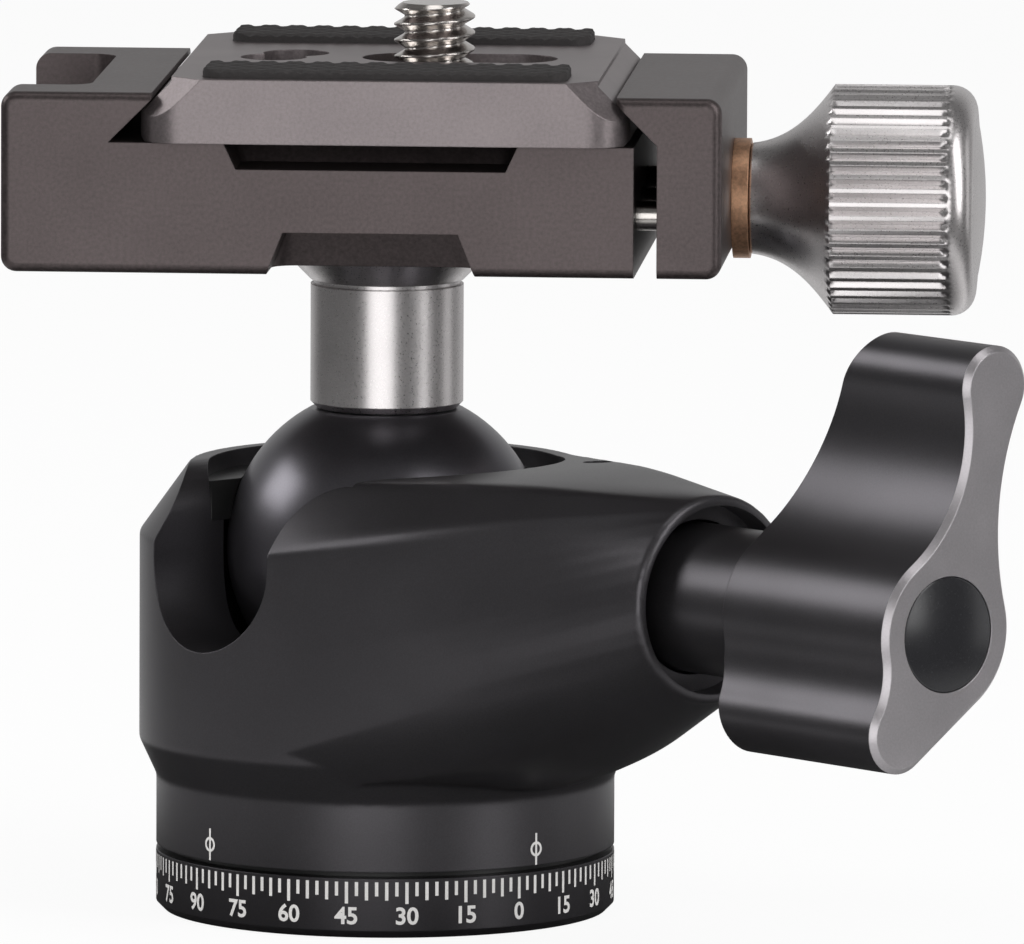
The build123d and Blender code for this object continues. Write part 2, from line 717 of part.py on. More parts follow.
with BuildPart() as clamp_body:
    with BuildSketch(Plane.XZ):
        with BuildLine():
            Polyline(
                (clamp_left, clamp_bottom), (clamp_right, clamp_bottom), (clamp_right, bed), (left_apex, bed),
                (left_lip, lip_bottom), (left_lip, jaw_top), (clamp_left, jaw_top), close=True)
        make_face()
    extrude(amount=clamp_depth / 2, both=True)
    outer_corners = clamp_body.edges().filter_by(Axis.Y).group_by(Axis.X)[0]
    fillet(outer_corners, clamp_corner)
    jaw_end_faces = clamp_body.faces().filter_by(Axis.Y)
    rounded = [
        edge for edge in jaw_end_faces.edges()
        if edge.center().X < left_lip and edge.center().Z > jaw_top - clamp_corner
        or edge.center().X < clamp_left + clamp_corner or edge.center().Z < clamp_bottom + clamp_corner]
    fillet(rounded, clamp_edge)
    with BuildSketch(Plane.XY.offset(bed)):
        with Locations((0, clamp_depth / 2), (0, -clamp_depth / 2)):
            RectangleRounded(upper_pocket_width, 2 * upper_pocket_depth, pocket_corner)
    extrude(amount=-upper_pocket_height, taper=upper_pocket_slant, mode=Mode.SUBTRACT)
    with BuildSketch(Plane.XY.offset(clamp_bottom)):
        with Locations((0, clamp_depth / 2), (0, -clamp_depth / 2)):
            RectangleRounded(lower_pocket_width, 2 * lower_pocket_depth, pocket_corner)
    extrude(amount=lower_pocket_height, taper=lower_pocket_slant, mode=Mode.SUBTRACT)
    with BuildSketch(Plane.XY.offset(jaw_top)):
        with Locations((clamp_left, 0)):
            RectangleRounded(2 * side_pocket_depth, side_pocket_length, pocket_corner)
    extrude(amount=-side_pocket_height, mode=Mode.SUBTRACT)
    with BuildSketch(Plane.XY.offset(bed)):
        Circle(neck_bolt_head_radius + fit_gap)
    extrude(amount=-neck_bolt_sink - neck_bolt_head_height, mode=Mode.SUBTRACT)
    with BuildSketch(Plane.XY.offset(bed)):
        Circle(neck_bolt_radius + fit_gap)
    extrude(amount=-bed_height, mode=Mode.SUBTRACT)
    with BuildSketch(Plane.YZ.offset(clamp_right)):
        with Locations((0, clamp_axis)):
            Circle(clamp_screw_radius + running)
    extrude(amount=clamp_screw_end - clamp_right - seat_gap, mode=Mode.SUBTRACT)
    with BuildSketch(Plane.YZ.offset(clamp_right)):
        with Locations((guide_pin_spacing / 2, clamp_axis), (-guide_pin_spacing / 2, clamp_axis)):
            Circle(guide_pin_radius + running)
    extrude(amount=-guide_pin_length - seat_gap, mode=Mode.SUBTRACT)
    with BuildSketch(Plane.YZ.offset(clamp_right)):
        with Locations((jaw_spring_spacing / 2, clamp_axis), (-jaw_spring_spacing / 2, clamp_axis)):
            Circle(jaw_spring_radius + seat_gap)
    extrude(amount=-jaw_spring_pocket, mode=Mode.SUBTRACT)

with BuildPart() as neck_bolt:
    with BuildSketch(Plane.XY.offset(bed - neck_bolt_sink)):
        Circle(neck_bolt_head_radius)
    extrude(amount=-neck_bolt_head_height)
    with BuildSketch(Plane.XY.offset(bed - neck_bolt_sink - neck_bolt_head_height)):
        Circle(neck_bolt_radius)
    extrude(amount=-neck_bolt_length)
    with BuildSketch(Plane.XY.offset(bed - neck_bolt_sink)):
        RegularPolygon(neck_bolt_radius, 6)
    extrude(amount=-neck_bolt_head_height / 2, mode=Mode.SUBTRACT)

with BuildPart() as jaw:
    with BuildSketch(Plane.XZ):
        with BuildLine():
            Polyline(
                (jaw_left, clamp_bottom), (jaw_right, clamp_bottom), (jaw_right, jaw_top), (right_lip, jaw_top),
                (right_lip, lip_bottom), (jaw_left, undercut_end), close=True)
        make_face()
    extrude(amount=clamp_depth / 2, both=True)
    fillet(jaw.edges().filter_by(Axis.Y).group_by(Axis.X)[-1], clamp_corner)
    rounded = [
        edge for edge in jaw.faces().filter_by(Axis.Y).edges()
        if edge.center().Z > lip_bottom or edge.center().X > jaw_right - clamp_corner
        or edge.center().Z < clamp_bottom + clamp_corner]
    fillet(rounded, clamp_edge)
    with BuildSketch(Plane.YZ.offset(jaw_left)):
        with Locations((0, clamp_axis)):
            Circle(clamp_screw_radius + 2 * running)
    extrude(amount=jaw_right - jaw_left, mode=Mode.SUBTRACT)
    with BuildSketch(Plane.YZ.offset(jaw_left)):
        with Locations((guide_pin_spacing / 2, clamp_axis), (-guide_pin_spacing / 2, clamp_axis)):
            Circle(guide_pin_radius + fit_gap)
    extrude(amount=guide_pin_seat, mode=Mode.SUBTRACT)
    with BuildSketch(Plane.YZ.offset(jaw_left)):
        with Locations((jaw_spring_spacing / 2, clamp_axis), (-jaw_spring_spacing / 2, clamp_axis)):
            Circle(jaw_spring_radius + seat_gap)
    extrude(amount=jaw_spring_pocket, mode=Mode.SUBTRACT)

with BuildPart() as guide_pins:
    with BuildSketch(Plane.YZ.offset(clamp_right - guide_pin_length)):
        with Locations((guide_pin_spacing / 2, clamp_axis), (-guide_pin_spacing / 2, clamp_axis)):
            Circle(guide_pin_radius)
    extrude(amount=guide_pin_length + jaw_gap + guide_pin_seat)

with BuildPart() as jaw_springs:
    with BuildSketch(Plane.YZ.offset(clamp_right - jaw_spring_pocket)):
        with Locations((jaw_spring_spacing / 2, clamp_axis), (-jaw_spring_spacing / 2, clamp_axis)):
            Circle(jaw_spring_radius)
            Circle(jaw_spring_radius - jaw_spring_wall, mode=Mode.SUBTRACT)
    extrude(amount=2 * jaw_spring_pocket + jaw_gap - seat_gap)

finish(clamp_body.part, "clamp_body")
finish(neck_bolt.part, "neck_bolt")
finish(jaw.part, "jaw")
finish(guide_pins.part, "guide_pins")
finish(jaw_springs.part, "jaw_springs")

# ---- Clamp knob ----

with BuildPart() as thrust_washer:
    with BuildSketch(Plane.YZ.offset(jaw_right)):
        with Locations((0, clamp_axis)):
            Circle(washer_radius)
            Circle(clamp_screw_radius + 2 * running, mode=Mode.SUBTRACT)
    extrude(amount=washer_thickness)

with BuildPart() as clamp_screw:
    with BuildSketch(Plane.YZ.offset(clamp_screw_end)):
        with Locations((0, clamp_axis)):
            Circle(clamp_screw_radius)
    extrude(amount=knob_start + knob_screw_depth - clamp_screw_end)

knob_axis = Axis((0, 0, clamp_axis), (1, 0, 0))
knob_section = Plane(origin=(knob_start, 0, clamp_axis), x_dir=(1, 0, 0), z_dir=(0, -1, 0))
with BuildPart() as flute_cutter:
    with BuildSketch(Plane.YZ.offset(knob_start + flute_start)):
        with Locations((0, clamp_axis)):
            Circle(grip_radius + flute_depth)
            Polygon(*flute_outline(grip_radius, flute_depth, flute_count), align=None, mode=Mode.SUBTRACT)
    extrude(amount=flute_end - flute_start)
    with BuildSketch(knob_section):
        with BuildLine():
            Polyline(
                (flute_start, grip_radius + flute_depth), (flute_start, grip_radius),
                (flute_start + 2 * flute_depth, grip_radius - flute_depth),
                (flute_end - 2 * flute_depth, grip_radius - flute_depth), (flute_end, grip_radius),
                (flute_end, grip_radius + flute_depth), close=True)
        make_face()
    revolve(axis=knob_axis, mode=Mode.INTERSECT)

with BuildPart() as clamp_knob:
    with BuildSketch(knob_section):
        with BuildLine():
            knob_flare = Spline(
                (0, knob_neck_radius), knob_waist, (knob_flare_end, grip_radius), tangents=((1, 0), (0.4, 1)))
            shoulder_start = (knob_length - knob_shoulder, grip_radius)
            shoulder_end = (knob_length, grip_radius - knob_shoulder)
            Line(knob_flare @ 1, shoulder_start)
            RadiusArc(shoulder_start, shoulder_end, knob_shoulder)
            Polyline(shoulder_end, (knob_length, 0), (0, 0), (0, knob_neck_radius))
        make_face()
    revolve(axis=knob_axis)
    add(flute_cutter.part, mode=Mode.SUBTRACT)
    with BuildSketch(Plane.YZ.offset(knob_start)):
        with Locations((0, clamp_axis)):
            Circle(clamp_screw_radius + fit_gap)
    extrude(amount=knob_screw_depth, mode=Mode.SUBTRACT)
    with BuildSketch(Plane.YZ.offset(knob_start + knob_length)):
        with Locations((0, clamp_axis)):
            Circle(knob_cap_radius + fit_gap)
    extrude(amount=-knob_cap_depth, mode=Mode.SUBTRACT)

with BuildPart() as knob_cap:
    with BuildSketch(knob_section):
        with BuildLine():
            dome = TangentArc((knob_length + knob_cap_dome, 0), (knob_length, knob_cap_radius), tangent=(0, 1))
            Polyline(
                dome @ 1, (knob_length - knob_cap_depth, knob_cap_radius), (knob_length - knob_cap_depth, 0),
                dome @ 0)
        make_face()
    revolve(axis=knob_axis)

finish(thrust_washer.part, "thrust_washer")
finish(clamp_screw.part, "clamp_screw")
finish(clamp_knob.part, "clamp_knob")
finish(knob_cap.part, "knob_cap")

# ---- Quick-release plate ----

strip_at = plate_length / 2 - strip_inset - strip_width / 2
with BuildPart() as plate:
    with BuildSketch(Plane.XZ):
        with BuildLine():
            Polyline(
                (plate_centre - half_width, dovetail_start), (plate_centre - half_width, plate_bottom + plate_edge),
                (plate_centre - half_width + plate_edge, plate_bottom), (plate_centre + half_width - plate_edge, plate_bottom),
                (plate_centre + half_width, plate_bottom + plate_edge), (plate_centre + half_width, dovetail_start),
                (plate_centre + top_half_width, dovetail_end), (plate_centre + top_half_width, plate_top),
                (plate_centre - top_half_width, plate_top), (plate_centre - top_half_width, dovetail_end),
                close=True)
        make_face()
    extrude(amount=plate_length / 2, both=True)
    with BuildSketch(Plane.XY.offset(plate_bottom)):
        with Locations((plate_centre, 0)):
            RectangleRounded(plate_width, plate_length, plate_corner)
    extrude(amount=plate_thickness, mode=Mode.INTERSECT)
    for side_x in (-1, 1):
        for side_y in (-1, 1):
            corner = (plate_centre + side_x * top_half_width, side_y * (plate_length / 2 - plate_corner_cut), plate_top)
            split(bisect_by=Plane(origin=corner, z_dir=(side_x, side_y, 1)), keep=Keep.BOTTOM)
    with BuildSketch(Plane.XY.offset(plate_bottom)):
        with Locations((slot_centre, 0)):
            SlotOverall(slot_length, slot_width)
        with Locations(*key_hole_centres):
            Circle(key_hole_radius)
    extrude(amount=plate_thickness, mode=Mode.SUBTRACT)
    with BuildSketch(Plane.XY.offset(plate_bottom)):
        with Locations((slot_centre, 0)):
            SlotOverall(slot_length + slot_recess_width - slot_width, slot_recess_width)
    extrude(amount=slot_recess_depth, mode=Mode.SUBTRACT)
    with BuildSketch(Plane.XY.offset(plate_top)):
        with Locations((plate_centre, strip_at), (plate_centre, -strip_at)):
            RectangleRounded(strip_length + 2 * fit_gap, strip_width + 2 * fit_gap, strip_corner)
    extrude(amount=-strip_sunk, mode=Mode.SUBTRACT)

finish(plate.part, "plate")

for strip_name, strip_y in (("rubber_strip_front", -strip_at), ("rubber_strip_back", strip_at)):
    with BuildPart() as rubber_strip:
        with BuildSketch(Plane.XY.offset(plate_top - strip_sunk)):
            with Locations((plate_centre, strip_y)):
                RectangleRounded(strip_length, strip_width, strip_corner)
        extrude(amount=strip_sunk + strip_proud)
    finish(rubber_strip.part, strip_name)

# ---- Camera screw ----

head_bottom = bed + camera_head_lift
head_top = head_bottom + camera_head_height
thread_start = plate_top + camera_thread_gap
with BuildPart() as camera_screw:
    with Locations((camera_screw_at, 0, head_bottom)):
        Cylinder(camera_head_radius, camera_head_height, align=(Align.CENTER, Align.CENTER, Align.MIN))
        Cylinder(camera_shank_radius, thread_start - head_bottom, align=(Align.CENTER, Align.CENTER, Align.MIN))
        Box(2 * camera_head_radius, coin_slot_width, coin_slot_depth,
            align=(Align.CENTER, Align.CENTER, Align.MIN), mode=Mode.SUBTRACT)
    with Locations((camera_screw_at, 0, thread_start)):
        Cylinder(camera_thread_radius, camera_screw_proud - camera_thread_gap,
                 align=(Align.CENTER, Align.CENTER, Align.MIN))
    chamfer(camera_screw.edges().group_by(Axis.Z)[-1], camera_screw_edge)

with BuildPart() as screw_washer:
    with BuildSketch(Plane.XY.offset(head_top + running)):
        with Locations((camera_screw_at, 0)):
            Circle(screw_washer_radius)
            Circle(camera_thread_radius + running, mode=Mode.SUBTRACT)
    extrude(amount=screw_washer_thickness)

with BuildPart() as screw_clip:
    with BuildSketch(Plane.XY.offset(head_top + 2 * running + screw_washer_thickness)):
        with Locations((camera_screw_at, 0)):
            Circle(clip_radius)
            Circle(camera_shank_radius + fit_gap, mode=Mode.SUBTRACT)
    extrude(amount=clip_thickness)

finish(camera_screw.part, "camera_screw")
finish(screw_washer.part, "screw_washer")
finish(screw_clip.part, "screw_clip")
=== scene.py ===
import bpy
import bmesh
import json
import math
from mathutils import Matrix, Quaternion, Vector


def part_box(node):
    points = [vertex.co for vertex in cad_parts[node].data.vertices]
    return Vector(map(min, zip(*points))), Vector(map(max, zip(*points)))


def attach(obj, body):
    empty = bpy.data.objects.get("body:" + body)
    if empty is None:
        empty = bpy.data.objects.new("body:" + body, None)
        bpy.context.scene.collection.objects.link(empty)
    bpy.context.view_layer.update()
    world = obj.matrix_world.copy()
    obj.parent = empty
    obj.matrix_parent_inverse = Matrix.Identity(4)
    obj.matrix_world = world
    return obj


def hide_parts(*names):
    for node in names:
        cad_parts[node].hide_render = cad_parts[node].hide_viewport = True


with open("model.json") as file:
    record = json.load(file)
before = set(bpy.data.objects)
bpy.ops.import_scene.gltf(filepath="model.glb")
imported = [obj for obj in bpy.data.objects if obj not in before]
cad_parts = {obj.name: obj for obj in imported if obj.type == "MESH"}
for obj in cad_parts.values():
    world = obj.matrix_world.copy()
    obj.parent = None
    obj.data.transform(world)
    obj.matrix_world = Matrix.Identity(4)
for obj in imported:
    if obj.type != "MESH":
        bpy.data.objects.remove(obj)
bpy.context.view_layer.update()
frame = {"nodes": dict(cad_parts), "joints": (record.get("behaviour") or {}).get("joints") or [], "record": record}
nodes = frame["nodes"]
joints = {joint["name"]: joint for joint in frame["joints"]}
scene = bpy.context.scene
mm = 0.001
tiny = 1e-6
up = Vector((0, 0, 1))
lockDir = Vector(joints["lock_lever_turn"]["axis"])
panDir = Vector(joints["pan_knob_turn"]["axis"])
notchDir = lockDir.cross(up)  # the neck tips about the lock's axis into the notch


def jointPlace(name):
    # where a hinge is, in mm to a thousandth
    return [round(value / mm, 3) for value in joints[name]["pos_m"]]


def nodeBox(name):
    # a node's lowest and highest corner, in mm to a thousandth
    return [[round(value / mm, 3) for value in corner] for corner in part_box(name)]


def hexColour(text):
    # sRGB hex to the linear values that the shaders work in
    channels = [int(text[i:i + 2], 16) / 255 for i in (1, 3, 5)]
    linear = [c / 12.92 if c <= 0.04045 else ((c + 0.055) / 1.055) ** 2.4 for c in channels]
    return (*linear, 1.0)


def addNode(tree, kind, inputs=None, **settings):
    # one node with its settings, and its inputs set or linked
    node = tree.nodes.new(kind)
    for name, value in settings.items():
        setattr(node, name, value)
    for name, value in (inputs or {}).items():
        socket = node.inputs[name]
        if isinstance(value, bpy.types.NodeSocket):
            tree.links.new(value, socket)
        else:
            socket.default_value = value
    return node


def startMaterial(name):
    material = bpy.data.materials.new(name)
    material.use_nodes = True
    material.node_tree.nodes.clear()
    return material, material.node_tree


# what all the finishes share
surfaceRules = {
    "noiseSpan": {"From Min": 0.3, "From Max": 0.7},  # where nearly all of a noise's values lie
    "drift": 0.06, "roughnessSwing": 0.04,  # each way: of the colour and of the roughness
    "wornEdge": 0.12, "bumpHeight": 0.02, "cutEdge": 0.02}  # mm


def surfaceLook(tree, place, look):
    # height, colour and roughness with fine grain and slow drift, as sockets
    span, drift = surfaceRules["noiseSpan"], surfaceRules["drift"]
    swing = surfaceRules["roughnessSwing"]
    grain = addNode(tree, "ShaderNodeTexNoise", {
        "Vector": place, "Scale": 1 / (look["grain"] * mm), "Detail": 3.0, "Roughness": 0.6})
    cloud = addNode(tree, "ShaderNodeTexNoise", {
        "Vector": place, "Scale": 1 / (look["cloud"] * mm), "Detail": 2.0})
    speckled = addNode(tree, "ShaderNodeMapRange", {
        "Value": grain.outputs["Fac"], **span,
        "To Min": 1 - look["speckle"], "To Max": 1 + look["speckle"]})
    drifting = addNode(tree, "ShaderNodeMapRange", {
        "Value": cloud.outputs["Fac"], **span, "To Min": 1 - drift, "To Max": 1 + drift})
    strength = addNode(tree, "ShaderNodeMath", {
        0: speckled.outputs[0], 1: drifting.outputs[0]}, operation="MULTIPLY")
    colour = addNode(tree, "ShaderNodeMix", {
        "Factor": 1.0, "A": hexColour(look["colour"]), "B": strength.outputs[0]},
        data_type="RGBA", blend_type="MULTIPLY")
    roughness = addNode(tree, "ShaderNodeMapRange", {
        "Value": grain.outputs["Fac"], **span,
        "To Min": look["roughness"] - swing, "To Max": look["roughness"] + swing})
    return grain.outputs["Fac"], colour.outputs["Result"], roughness.outputs[0]


def finishedSurface(name, look):
    material, tree = startMaterial(name)
    place = addNode(tree, "ShaderNodeTexCoord").outputs["Object"]
    height, colour, roughness = surfaceLook(tree, place, look)
    if "face" in look:
        # faced off after anodising: bright metal beyond a plane, dyed finish behind it; a plane set at the face's
        # chamfer paints that edge bright too, as a painted highlight
        out = addNode(tree, "ShaderNodeVectorMath", {
            0: place, 1: look["faceDir"]}, operation="DOT_PRODUCT")
        cut = addNode(tree, "ShaderNodeMapRange", {
            "Value": out.outputs["Value"],
            "From Min": (look["faceStart"] - surfaceRules["cutEdge"]) * mm,
            "From Max": look["faceStart"] * mm})
        _, brightFaceAndEdgeColour, faceRoughness = surfaceLook(tree, place, look["face"])
        colour = addNode(tree, "ShaderNodeMix", {
            "Factor": cut.outputs[0], "A": colour, "B": brightFaceAndEdgeColour},
            data_type="RGBA").outputs["Result"]
        roughness = addNode(tree, "ShaderNodeMix", {
            "Factor": cut.outputs[0], "A": roughness, "B": faceRoughness},
            data_type="FLOAT").outputs["Result"]
    edge = addNode(tree, "ShaderNodeBevel", {"Radius": surfaceRules["wornEdge"] * mm}, samples=4)
    bump = addNode(tree, "ShaderNodeBump", {
        "Strength": look["bump"], "Distance": surfaceRules["bumpHeight"] * mm,
        "Height": height, "Normal": edge.outputs["Normal"]})
    shader = addNode(tree, "ShaderNodeBsdfPrincipled", {
        "Base Color": colour, "Metallic": look["metallic"], "Roughness": roughness,
        "Normal": bump.outputs["Normal"]})
    addNode(tree, "ShaderNodeOutputMaterial", {"Surface": shader.outputs[0]})
    return material


# Colours are sRGB. Grain and cloud are the width in mm of the marks that blasting, dyeing or
# moulding leaves. Real grit marks are about 0.05 mm wide, and are drawn two to six times as
# coarse so that they show. Speckle is how far the grain lightens and darkens the colour.
finishes = {
    # aluminium, fine-blasted, dyed charcoal and anodised: dark, with a soft sheen
    "charcoalAnodised": {
        "colour": "#545255", "metallic": 0.85, "roughness": 0.36,
        "grain": 0.12, "cloud": 9.0, "speckle": 0.10, "bump": 0.10},
    # the same, turned before anodising: a little darker
    "blackAnodised": {
        "colour": "#4c4a4d", "metallic": 0.85, "roughness": 0.34,
        "grain": 0.12, "cloud": 9.0, "speckle": 0.08, "bump": 0.08},
    # charcoal anodised, with its end face cut bright afterwards; the bright colour also covers that face's
    # chamfered edge, as a painted highlight
    "charcoalAnodisedCutFaceEdgeHighlight": {
        "colour": "#545255", "metallic": 0.9, "roughness": 0.36,
        "grain": 0.12, "cloud": 9.0, "speckle": 0.10, "bump": 0.10,
        # the bright colour starts where the end's chamfer starts, so the chamfer carries a painted highlight
        "faceDir": tuple(lockDir), "faceStart": 64.95,  # mm out along the lock
        "face": {
            "colour": "#b4b0b3", "roughness": 0.36, "grain": 0.16, "cloud": 6.0, "speckle": 0.07}},
    # aluminium, coarse-blasted, dyed warm grey: visible grain, soft sheen
    "warmGreyBlasted": {
        "colour": "#595151", "metallic": 0.85, "roughness": 0.42,
        "grain": 0.30, "cloud": 7.0, "speckle": 0.22, "bump": 0.25},
    # the same blast on a paler dye: a finer, lighter grain
    "lightGreyBlasted": {
        "colour": "#857d7e", "metallic": 0.85, "roughness": 0.42,
        "grain": 0.26, "cloud": 7.0, "speckle": 0.18, "bump": 0.22},
    # aluminium ball, turned and hard anodised: smooth dark grey with a clear sheen
    "greyHardAnodised": {
        "colour": "#67656a", "metallic": 0.9, "roughness": 0.32,
        "grain": 0.14, "cloud": 6.0, "speckle": 0.08, "bump": 0.08},
    # aluminium, turned, lightly blasted and clear anodised: bright, with a fine sparkle
    "clearAnodised": {
        "colour": "#d2cece", "metallic": 1.0, "roughness": 0.30,
        "grain": 0.18, "cloud": 6.0, "speckle": 0.08, "bump": 0.14},
    # stainless steel, turned: bright and clean
    "turnedStainless": {
        "colour": "#c9c4c0", "metallic": 1.0, "roughness": 0.20,
        "grain": 0.2, "cloud": 5.0, "speckle": 0.05, "bump": 0.05},
    # bronze, sintered and left plain: brown, dull, slightly porous
    "sinteredBronze": {
        "colour": "#c2987a", "metallic": 0.9, "roughness": 0.42,
        "grain": 0.3, "cloud": 2.0, "speckle": 0.25, "bump": 0.3},
    # brass, turned: warm and bright
    "turnedBrass": {
        "colour": "#c8a866", "metallic": 1.0, "roughness": 0.3,
        "grain": 0.2, "cloud": 5.0, "speckle": 0.05, "bump": 0.05},
    # acetal, machined: black, smooth and slightly waxy
    "blackAcetal": {
        "colour": "#1a1a1a", "metallic": 0.0, "roughness": 0.32,
        "grain": 0.2, "cloud": 5.0, "speckle": 0.05, "bump": 0.05},
    # ABS, moulded and polished: glossy black
    "glossBlackABS": {
        "colour": "#1d1d20", "metallic": 0.0, "roughness": 0.24,
        "grain": 0.2, "cloud": 5.0, "speckle": 0.05, "bump": 0.04},
    # nitrile rubber, moulded: matt black with a rough skin
    "mouldedRubber": {
        "colour": "#312e2e", "metallic": 0.0, "roughness": 0.75,
        "grain": 0.25, "cloud": 3.0, "speckle": 0.25, "bump": 0.5},
    # white paint wiped into engraved lines: matt, slightly uneven
    "whiteFillPaint": {
        "colour": "#e4e2e0", "metallic": 0.0, "roughness": 0.55,
        "grain": 0.10, "cloud": 3.0, "speckle": 0.06, "bump": 0.1},
}
materials = {name: finishedSurface(name, look) for name, look in finishes.items()}
print("materials made:", len(materials))

slotFinish = {
    "base_black": "blackAnodised", "shell_black": "charcoalAnodised", "ball_grey": "greyHardAnodised",
    "neck_silver": "clearAnodised", "clamp_grey": "warmGreyBlasted", "plate_grey": "lightGreyBlasted",
    "knob_silver": "clearAnodised", "steel": "turnedStainless", "bronze": "sinteredBronze",
    "brass": "turnedBrass", "seat_plastic": "blackAcetal", "cap_black": "glossBlackABS",
    "rubber_black": "mouldedRubber"}
nodeSlot = {part["node"]: part["material_slot"] for part in frame["record"]["subparts"]}
sharpAngle = math.radians(28)  # edges that turn by more stay crisp
for name, node in nodes.items():
    finish = "charcoalAnodisedCutFaceEdgeHighlight" if name == "lever" else slotFinish[nodeSlot[name]]
    node.data.materials.clear()
    node.data.materials.append(materials[finish])
    node.data.shade_smooth()
    node.data.set_sharp_from_angle(angle=sharpAngle)
print("nodes dressed:", len(nodes))


def makeMesh(name, corners, faces):
    # corners in mm
    mesh = bpy.data.meshes.new(name)
    mesh.from_pydata([tuple(Vector(corner) * mm) for corner in corners], [], faces)
    mesh.validate()
    return mesh


def addPiece(name, mesh, material, body, replaced=()):
    mesh.materials.clear()
    mesh.materials.append(materials[material])
    mesh.shade_smooth()
    mesh.set_sharp_from_angle(angle=sharpAngle)
    item = bpy.data.objects.new(name, mesh)
    scene.collection.objects.link(item)
    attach(item, body)
    if replaced:
        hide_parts(*replaced)


def ringFaces(rings, count):
    # faces from ring to ring, each ring of the same count, and over both ends
    faces = []
    for row in range(rings - 1):
        for i in range(count):
            a, b = row * count + i, row * count + (i + 1) % count
            faces.append((a, b, b + count, a + count))
    faces.append(tuple(reversed(range(count))))
    faces.append(tuple(range((rings - 1) * count, rings * count)))
    return faces


def lathe(name, profile, origin, axis, columns, shape=None):
    # turned solid: profile of (distance, radius) along the axis, where shape may change the radius
    axis = Vector(axis).normalized()
    side = axis.orthogonal().normalized()
    across = axis.cross(side)
    corners = []
    for distance, radius in profile:
        for column in range(columns):
            angle = 2 * math.pi * column / columns
            r = shape(angle, distance, radius) if shape else radius
            out = side * math.cos(angle) + across * math.sin(angle)
            corners.append(Vector(origin) + axis * distance + out * r)
    return makeMesh(name, corners, ringFaces(len(profile), columns))


def outward(mesh):
    # the same mesh with its faces turned outward
    shape = bmesh.new()
    shape.from_mesh(mesh)
    bmesh.ops.recalc_face_normals(shape, faces=shape.faces)
    shape.to_mesh(mesh)
    shape.free()
    return mesh


def applyModifiers(mesh, *steps):
    # mesh after modifiers, each given as its kind and settings
    item = bpy.data.objects.new("work", mesh)
    scene.collection.objects.link(item)
    for kind, settings in steps:
        modifier = item.modifiers.new(kind.lower(), kind)
        for name, value in settings.items():
            setattr(modifier, name, value)
    bpy.context.view_layer.update()
    evaluated = item.evaluated_get(bpy.context.evaluated_depsgraph_get())
    result = bpy.data.meshes.new_from_object(evaluated)
    bpy.data.objects.remove(item)
    return result


def combine(mesh, others, operation):
    # mesh joined with, or cut by, each of the others in turn
    tools = []
    for other in others:
        tool = bpy.data.objects.new("tool", other)
        scene.collection.objects.link(tool)
        tools.append(tool)
    steps = [
        ("BOOLEAN", {"object": tool, "operation": operation, "solver": "EXACT"}) for tool in tools]
    result = applyModifiers(mesh, *steps)
    for tool in tools:
        bpy.data.objects.remove(tool)
    return result


# the body: turned, with the lock's boss run into it, then bored and notched; all in mm
bodyHousing = {
    "outline": [(3.6, 18.0), (10.6, 18.0), (13.5, 19.35), (29.7, 19.35), (35.2, 15.4)],
    "core": 0.4, "columns": 256,  # the outline is (height, radius), and starts and ends at the core
    "bottom": nodeBox("shell")[0][2],
    "lockHeight": jointPlace("lock_lever_turn")[2],
    "ballHeight": jointPlace("ball_tilt")[2],
    "panHeight": jointPlace("pan_knob_turn")[2],
    # the boss's sections out along the lock, right halves from top to bottom: (across, height)
    "rootAt": 5.5, "root": [
        (0, 35.2), (14.39, 35.2), (18.45, 29.7), (18.45, 13.5), (17.04, 10.6), (8.5, 10.6), (0, 10.6)],
    "middleAt": 22.0, "middle": [
        (0, 36.3), (8.5, 36.3), (13.5, 32.7), (13.5, 17.5), (10.0, 13.6), (5.0, 12.2), (0, 11.0)],
    "endAt": 38.4, "endRadius": 8.1,
    "endJoints": (90, 72, 60, -30, -52, -72, -90),  # degrees of the corners on the round end
    "between": 10,  # points on each line of a section
    "rings": 40, "bendLength": 5.0, "nose": 0.6, "noseSteps": 6,
    "creaseWear": 2,  # passes of wear on the middle section's corners
    "bellyWear": 28, "bellyTop": 24.0,  # passes below this height
    "voxel": 0.2, "smoothing": 5,
    # the chamber as (height, radius), the other bores as (start, radius) along their axes
    "chamber": [
        (0, 9.05), (10.9, 9.05), (10.9, 11.6), (13.4, 11.6), (13.4, 12.9), (30.8, 12.9), (30.8, 14.02),
        (60, 14.02)],
    "chamberColumns": 192, "belowRadius": 40.0,
    "lockBores": [(0, 4.25), (19.5, 5.82), (31.4, 6.0), (36.6, 7.3)],  # pad, bushing, collar, mouth
    "lockBoreEnd": 45, "boreColumns": 96,
    "panBores": [(0, 1.65), (11.45, 1.95)],  # pad, screw
    "panBoreEnd": 25, "smallBoreColumns": 48,
    "setScrew": {"out": 14.2, "across": 9.6, "radius": 1.22, "bottom": 32.7, "top": 40},
    "notch": {"half": 6.8, "lip": 4.0, "start": 6.25, "end": 25.6, "steps": 24, "lipSteps": 12}}


def ridge(distance, width):
    # 0 before a bend, distance after it, and a smooth turn of the given width between them
    if abs(distance) >= width:
        return max(0.0, distance)
    return (distance + width) ** 2 / (4 * width)


def closedSection(rightHalf, between):
    # points round a cross-section, evenly spaced between its corners
    corners = list(rightHalf) + [(-across, height) for across, height in reversed(rightHalf[1:-1])]
    points = []
    for (a, b), (c, d) in zip(corners, corners[1:] + corners[:1]):
        for i in range(between):
            t = i / between
            points.append((a + (c - a) * t, b + (d - b) * t))
    return points


def rounded(points, passes, below=None):
    # corners of a closed line worn round, all of it or below a height
    for _ in range(passes):
        count = len(points)
        points = [
            points[i] if below is not None and points[i][1] > below else
            tuple((points[i - 1][k] + 2 * points[i][k] + points[(i + 1) % count][k]) / 4 for k in (0, 1))
            for i in range(count)]
    return points


